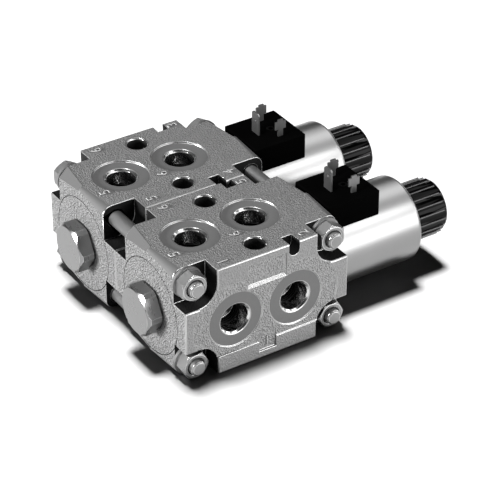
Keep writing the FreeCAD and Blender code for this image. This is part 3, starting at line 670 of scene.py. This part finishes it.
def makeRoom():
    # the floor, the sky and the lists of what each lamp lights
    bpy.ops.mesh.primitive_plane_add(size=studio["floorSize"])
    floor = bpy.context.object
    floor.name = "floor"
    floor.location.z = cadLow.z
    material, _, shader = newMaterial("paleFloor", (0.9, 0.9, 0.9))
    shader.inputs["Base Color"].default_value = (*(studio["floorTone"],) * 3, 1)
    shader.inputs["Roughness"].default_value = studio["floorRough"]
    shader.inputs["Specular IOR Level"].default_value = 0.0
    floor.data.materials.append(material)
    world = bpy.data.worlds.new("studio")
    bpy.context.scene.world = world
    world.use_nodes = True
    tree = world.node_tree
    sky = tree.nodes["Background"]
    coords = addNode(tree, "ShaderNodeTexCoord")
    axes = addNode(tree, "ShaderNodeSeparateXYZ", links={0: coords.outputs["Generated"]})
    ramp = addNode(tree, "ShaderNodeMapRange", {"interpolation_type": "SMOOTHSTEP"},
                   {"From Min": 0.0, "From Max": studio["skyRise"],
                    "To Min": studio["skyLow"], "To Max": studio["skyTop"]}, {"Value": axes.outputs["Z"]})
    tree.links.new(ramp.outputs[0], sky.inputs["Color"])
    sky.inputs["Strength"].default_value = studio["skyStrength"]
    receivers = {kind: bpy.data.collections.new("lit" + kind.capitalize())
                 for kind in ("object", "floor", "coils", "castings", "fittings")}
    receivers["floor"].objects.link(floor)
    coils = [copyName(section, "coil_can") for section in sections]
    castings = [copyName(section, "valve_body") for section in sections] + ["portNumbers", "portThreads"]
    for thing in bpy.data.objects:
        if thing.type != "MESH" or thing is floor:
            continue
        receivers["object"].objects.link(thing)
        kind = "coils" if thing.name in coils else "castings" if thing.name in castings else "fittings"
        receivers[kind].objects.link(thing)
    return receivers


def makeLights(receivers):
    aim = Vector(cameraView["aim"])
    for name, look in studio["suns"].items():
        sun = bpy.data.lights.new(name, "SUN")
        sun.energy = look["strength"]
        sun.angle = math.radians(look["spread"])
        lamp = linkObject(name, sun)
        lamp.rotation_euler = Vector(look["from"]).to_track_quat("Z", "Y").to_euler()
        lamp.light_linking.receiver_collection = receivers[look["lights"]]
    for name, look in studio["panels"].items():
        light = bpy.data.lights.new(name, "AREA")
        light.shape = "RECTANGLE"
        light.size, light.size_y = look["size"]
        light.energy = look["power"]
        lamp = linkObject(name, light)
        lamp.location = look["place"]
        lamp.rotation_euler = (Vector(look["place"]) - aim).to_track_quat("Z", "Y").to_euler()
        lamp.light_linking.receiver_collection = receivers[look.get("lights", "object")]


# turned pieces and the coil can

def turnedShape(profile, middleY, steps):
    # profile of (x, radius) turned round the spool axis, closed where the radius is 0
    shape = bmesh.new()
    rings = []
    for x, radius in profile:
        if radius == 0:
            rings.append([shape.verts.new((x, middleY, axisHeight))])
            continue
        angles = (2 * math.pi * k / steps for k in range(steps))
        rings.append([shape.verts.new((x, middleY + radius * math.sin(a), axisHeight + radius * math.cos(a)))
                      for a in angles])
    for first, second in zip(rings, rings[1:]):
        for k in range(steps):
            j = (k + 1) % steps
            corners = [first[k % len(first)], first[j % len(first)],
                       second[j % len(second)], second[k % len(second)]]
            corners = list(dict.fromkeys(corners))
            if len(corners) > 2:
                shape.faces.new(corners)
    bmesh.ops.recalc_face_normals(shape, faces=shape.faces)
    return shape


def shapeToPiece(shape, name, looks, sharpAngle):
    mesh = bpy.data.meshes.new(name)
    shape.to_mesh(mesh)
    shape.free()
    for look in looks:
        mesh.materials.append(materials[look])
    mesh.shade_smooth()
    mesh.set_sharp_from_angle(angle=math.radians(sharpAngle))
    return linkObject(name, mesh)


def arcPoints(x, radius, size, start, end, steps):
    angles = (math.radians(start + (end - start) * k / steps) for k in range(steps + 1))
    return [(x + size * math.cos(a), radius + size * math.sin(a)) for a in angles]


canLook = {"rimRound": 0.0024, "rimSteps": 10, "endRound": 0.0005, "endSteps": 6, "boreRadius": 0.01055,
           "wall": 0.0022, "endWall": 0.004, "steps": 180, "sharp": 30, "gap": 0.000001}


def makeCan(section):
    look = canLook
    low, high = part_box(section + "_coil_jacket")
    radius, middleY = (high.z - low.z) / 2, (high.y + low.y) / 2
    left, right = low.x, high.x
    inner, bore = radius - look["wall"], look["boreRadius"]
    endRound, rimRound = look["endRound"], look["rimRound"]
    wallLeft, wallRight = left + look["endWall"], right - look["endWall"]
    profile = ([(left, bore)]
               + arcPoints(left + endRound, radius - endRound, endRound, 180, 90, look["endSteps"])
               + arcPoints(right - rimRound, radius - rimRound, rimRound, 90, 0, look["rimSteps"])
               + [(right, bore), (wallRight, bore), (wallRight, inner), (wallLeft, inner),
                  (wallLeft, bore), (left, bore)])
    shape = turnedShape(profile, middleY, look["steps"])
    bmesh.ops.remove_doubles(shape, verts=shape.verts, dist=look["gap"])
    bmesh.ops.recalc_face_normals(shape, faces=shape.faces)
    piece = shapeToPiece(shape, copyName(section, "coil_can"), ["coilSteel"], look["sharp"])
    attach(piece, stackBody)
    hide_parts(section + "_coil_jacket")


def makeSpring(section):
    # a smooth-shaded copy of the return spring, carried by the valve stack
    node = section + "_return_spring"
    mesh = frame["nodes"][node].data.copy()
    mesh.shade_smooth()
    piece = linkObject(copyName(section, "spool_spring"), mesh)
    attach(piece, stackBody)
    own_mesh(piece)
    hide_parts(node)


# ribs and threads from geometry nodes

def newTree(name, inputs):
    tree = bpy.data.node_groups.new(name, "GeometryNodeTree")
    tree.interface.new_socket("Geometry", in_out="INPUT", socket_type="NodeSocketGeometry")
    for label, kind in inputs:
        tree.interface.new_socket(label, in_out="INPUT", socket_type=kind)
    tree.interface.new_socket("Geometry", in_out="OUTPUT", socket_type="NodeSocketGeometry")
    return tree, tree.nodes.new("NodeGroupInput"), tree.nodes.new("NodeGroupOutput")


def finishTree(tree, start, end, geometry):
    real = addNode(tree, "GeometryNodeRealizeInstances", links={"Geometry": geometry})
    painted = addNode(tree, "GeometryNodeSetMaterial",
                      links={"Geometry": real.outputs[0], "Material": start.outputs["Material"]})
    tree.links.new(painted.outputs[0], end.inputs[0])


def makeRibTree():
    tree, start, end = newTree("ribRing", [
        ("Count", "NodeSocketInt"), ("Radius", "NodeSocketFloat"), ("Length", "NodeSocketFloat"),
        ("Width", "NodeSocketFloat"), ("Height", "NodeSocketFloat"), ("Round", "NodeSocketFloat"),
        ("Place", "NodeSocketVector"), ("Material", "NodeSocketMaterial")])
    reach = addNode(tree, "ShaderNodeCombineXYZ", links={"X": start.outputs["Length"]})
    line = addNode(tree, "GeometryNodeCurvePrimitiveLine", links={"End": reach.outputs[0]})
    outline = addNode(tree, "GeometryNodeCurvePrimitiveQuadrilateral",
                      links={"Width": start.outputs["Width"], "Height": start.outputs["Height"]})
    rounded = addNode(tree, "GeometryNodeFilletCurve", {"mode": "POLY"}, {"Count": 3},
                      {"Curve": outline.outputs[0], "Radius": start.outputs["Round"]})
    rib = addNode(tree, "GeometryNodeCurveToMesh", values={"Fill Caps": True},
                  links={"Curve": line.outputs[0], "Profile Curve": rounded.outputs[0]})
    lift = addNode(tree, "ShaderNodeCombineXYZ", links={"Z": start.outputs["Radius"]})
    lifted = addNode(tree, "GeometryNodeTransform",
                     links={"Geometry": rib.outputs[0], "Translation": lift.outputs[0]})
    ring = addNode(tree, "GeometryNodeMeshLine", links={"Count": start.outputs["Count"]})
    ring.inputs["Offset"].default_value = (0, 0, 0)
    index = addNode(tree, "GeometryNodeInputIndex")
    share = math2(tree, "DIVIDE", index.outputs[0], start.outputs["Count"])
    turn = addNode(tree, "ShaderNodeCombineXYZ", links={"X": math2(tree, "MULTIPLY", share, 2 * math.pi)})
    placed = addNode(tree, "GeometryNodeInstanceOnPoints",
                     links={"Points": ring.outputs[0], "Instance": lifted.outputs[0],
                            "Rotation": turn.outputs[0]})
    moved = addNode(tree, "GeometryNodeTransform",
                    links={"Geometry": placed.outputs[0], "Translation": start.outputs["Place"]})
    finishTree(tree, start, end, moved.outputs[0])
    return tree


def makeThreadTree():
    tree, start, end = newTree("threadRidge", [
        ("Turns", "NodeSocketFloat"), ("Radius", "NodeSocketFloat"), ("Length", "NodeSocketFloat"),
        ("Ridge", "NodeSocketFloat"), ("Rotation", "NodeSocketVector"), ("Place", "NodeSocketVector"),
        ("Material", "NodeSocketMaterial")])
    spiral = addNode(tree, "GeometryNodeCurveSpiral", values={"Resolution": 48},
                     links={"Rotations": start.outputs["Turns"], "Start Radius": start.outputs["Radius"],
                            "End Radius": start.outputs["Radius"], "Height": start.outputs["Length"]})
    outline = addNode(tree, "GeometryNodeCurvePrimitiveCircle", values={"Resolution": 4},
                      links={"Radius": start.outputs["Ridge"]})
    ridge = addNode(tree, "GeometryNodeCurveToMesh", values={"Fill Caps": True},
                    links={"Curve": spiral.outputs[0], "Profile Curve": outline.outputs[0]})
    turned = addNode(tree, "GeometryNodeTransform",
                     links={"Geometry": ridge.outputs[0], "Rotation": start.outputs["Rotation"]})
    moved = addNode(tree, "GeometryNodeTransform",
                    links={"Geometry": turned.outputs[0], "Translation": start.outputs["Place"]})
    finishTree(tree, start, end, moved.outputs[0])
    return tree


joinGap = 0.0000005


def growMesh(tree, values, name):
    # one evaluated mesh from a tree and its named inputs
    carrier = linkObject(name + "Carrier", bpy.data.meshes.new(name + "Carrier"))
    modifier = carrier.modifiers.new("tree", "NODES")
    modifier.node_group = tree
    sockets = {item.name: item.identifier for item in tree.interface.items_tree
               if item.item_type == "SOCKET" and item.in_out == "INPUT"}
    for label, value in values.items():
        modifier[sockets[label]] = value
    carrier.update_tag()
    grid = bpy.context.evaluated_depsgraph_get()
    mesh = bpy.data.meshes.new_from_object(carrier.evaluated_get(grid))
    mesh.name = name
    carrier.modifiers.remove(modifier)
    bpy.data.objects.remove(carrier)
    return mesh


def joinFigures(figures, name, looks, sharpAngle):
    # one piece from several meshes, each with the material slot of every one of its faces
    shape = bmesh.new()
    for mesh, slots in figures:
        done = len(shape.faces)
        shape.from_mesh(mesh)
        shape.faces.ensure_lookup_table()
        for face, slot in zip(shape.faces[done:], slots):
            face.material_index = slot
    bmesh.ops.remove_doubles(shape, verts=shape.verts, dist=joinGap)
    bmesh.ops.recalc_face_normals(shape, faces=shape.faces)
    return shapeToPiece(shape, name, looks, sharpAngle)


def joinMeshes(meshes, name, looks, sharpAngle):
    figures = [(mesh, [min(k, len(looks) - 1)] * len(mesh.polygons)) for k, mesh in enumerate(meshes)]
    return joinFigures(figures, name, looks, sharpAngle)


ribTree = makeRibTree()
threadTree = makeThreadTree()

knobLook = {"ribs": 20, "outer": 0.0152, "core": 0.0146, "flute": 0.0006, "ribWidth": 0.0008, "ribDeep": 0.0022,
            "ribRound": 0.0003, "ribSink": 0.00005, "chamfer": 0.0012, "bore": 0.00805, "fluteSteps": 8,
            "taper": 0.0004, "lip": 0.0008, "rimBack": 0.0002, "rimIn": 0.0003,
            "dish": 0.0105, "dishFloor": 0.0102, "dishDepth": 0.0004, "sharp": 40}


def makeKnob(section):
    look = knobLook
    low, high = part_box(section + "_coil_knob")
    middleY = (low.y + high.y) / 2
    left, right = low.x, high.x
    rim, floor = look["core"] - look["chamfer"], right - look["dishDepth"]
    profile = [(left, look["bore"]), (left, look["core"]),
               (right - look["chamfer"], look["core"] - look["taper"]),
               (right - look["rimBack"], rim), (right, rim - look["rimIn"]),
               (right, look["dish"]), (floor, look["dishFloor"]), (floor, 0)]
    shape = turnedShape(profile, middleY, look["ribs"] * look["fluteSteps"])
    for vert in shape.verts:
        y, z = vert.co.y - middleY, vert.co.z - axisHeight
        radius = math.hypot(y, z)
        if radius < rim + look["rimBack"]:
            continue  # the flutes stay off the end
        share = (math.atan2(y, z) / (2 * math.pi) * look["ribs"]) % 1
        hollow = look["flute"] * math.sin(math.pi * share)
        vert.co.y = middleY + y * (1 - hollow / radius)
        vert.co.z = axisHeight + z * (1 - hollow / radius)
    core = bpy.data.meshes.new("knobCore")
    shape.to_mesh(core)
    shape.free()
    ribs = growMesh(ribTree, {
        "Count": look["ribs"], "Radius": look["outer"] - look["ribDeep"] / 2 - look["ribSink"],
        "Length": right - left - 2 * look["chamfer"] - look["lip"], "Width": look["ribWidth"],
        "Height": look["ribDeep"], "Round": look["ribRound"],
        "Place": (left + look["lip"] / 2, middleY, axisHeight), "Material": materials["knobPlastic"],
    }, "knobRibs")
    piece = joinMeshes([core, ribs], copyName(section, "ribbed_knob"), ["knobPlastic", "knobRidgeHighlight"],
                       look["sharp"])
    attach(piece, stackBody)
    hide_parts(section + "_coil_knob")


portThread = {"pitch": 0.001337, "length": 0.0105, "radius": 0.00762, "ridge": 0.00052, "start": 0.0009,
              "sharp": 40}


def makePortThreads():
    look = portThread
    meshes = []
    for name, mount in mounts.items():
        if mount["kind"] != "threaded_hole":
            continue
        inward = -Vector(mount["axis"])
        mouth = Vector(mount["pos_m"])
        spin = inward.to_track_quat("Z", "Y").to_euler()
        meshes.append(growMesh(threadTree, {
            "Turns": look["length"] / look["pitch"], "Radius": look["radius"], "Length": look["length"],
            "Ridge": look["ridge"], "Rotation": tuple(spin), "Place": tuple(mouth + inward * look["start"]),
            "Material": materials["castIron"],
        }, name))
    # the threads are painted near black as shade
    piece = joinMeshes(meshes, "portThreads", ["threadShade"], look["sharp"])
    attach(piece, stackBody)


# raised plain numbers by the ports

# the figure in the mark box stands at an x and z of its own and a little behind the front face
numberLook = {"size": 0.0078, "raise": 0.0006, "sink": 0.0004, "bevel": 0.0003, "thin": 0.00028,
              "slopes": (0.2, 0.95), "sharp": 30, "boxSize": 0.0075, "boxPlace": (6.25, 1.1, 9.15)}
topNumbers = [("6", -15.3, 92.4), ("5", -31.8, 55.2), ("6", 1.2, 55.1), ("5", -15.1, 38.2),
              ("3", 29.8, 93.3), ("4", 30.0, 38.7), ("6", -14.8, 28.1), ("5", -31.8, -10.2),
              ("6", 1.5, -10.8), ("1", -15.9, -27.6), ("5", 29.9, 27.6), ("2", 29.6, -27.7)]  # mm


def numberMesh(digit, size, place):
    # a raised figure whose own Z is the way it stands up
    look = numberLook
    text = bpy.data.curves.new("number", "FONT")
    text.body = digit
    text.size = size
    text.extrude = (look["raise"] + look["sink"]) / 2 - look["bevel"]
    text.bevel_depth = look["bevel"]
    text.bevel_resolution = 1
    text.offset = -look["thin"]
    text.align_x, text.align_y = "CENTER", "CENTER"
    writer = linkObject("number", text)
    grid = bpy.context.evaluated_depsgraph_get()
    mesh = bpy.data.meshes.new_from_object(writer.evaluated_get(grid))
    bpy.data.objects.remove(writer)
    mesh.transform(Matrix.Translation((0, 0, (look["raise"] - look["sink"]) / 2)))
    # flat tops stay cast iron, the slopes are painted with a highlight and the steep sides with shade
    steep, flat = look["slopes"]
    rises = (abs(face.normal.z) for face in mesh.polygons)
    slots = [0 if rise > flat else 1 if rise > steep else 2 for rise in rises]
    mesh.transform(place)
    return mesh, slots


def makeNumbers():
    look = numberLook
    figures = [numberMesh(digit, look["size"], Matrix.Translation((x * mm, y * mm, bodyHigh.z))
                          @ Matrix.Rotation(math.pi / 2, 4, "Z")) for digit, x, y in topNumbers]
    x, depth, z = look["boxPlace"]
    figures.append(numberMesh("1", look["boxSize"], Matrix.Translation((x * mm, bodyLow.y + depth * mm, z * mm))
                              @ Matrix.Rotation(math.pi / 2, 4, "X") @ Matrix.Rotation(math.pi, 4, "Z")))
    piece = joinFigures(figures, "portNumbers", ["castIron", "numberSlopeHighlight", "pocketShade"], look["sharp"])
    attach(piece, stackBody)


for section in sections:
    makeCan(section)
    makeKnob(section)
    makeSpring(section)
print("coil cans, knobs and springs made")
makePortThreads()
makeNumbers()
print("threads and numbers made")

makeCamera()
makeLights(makeRoom())
bpy.context.scene.view_settings.view_transform = "Standard"
print("studio made")

print("scene made")
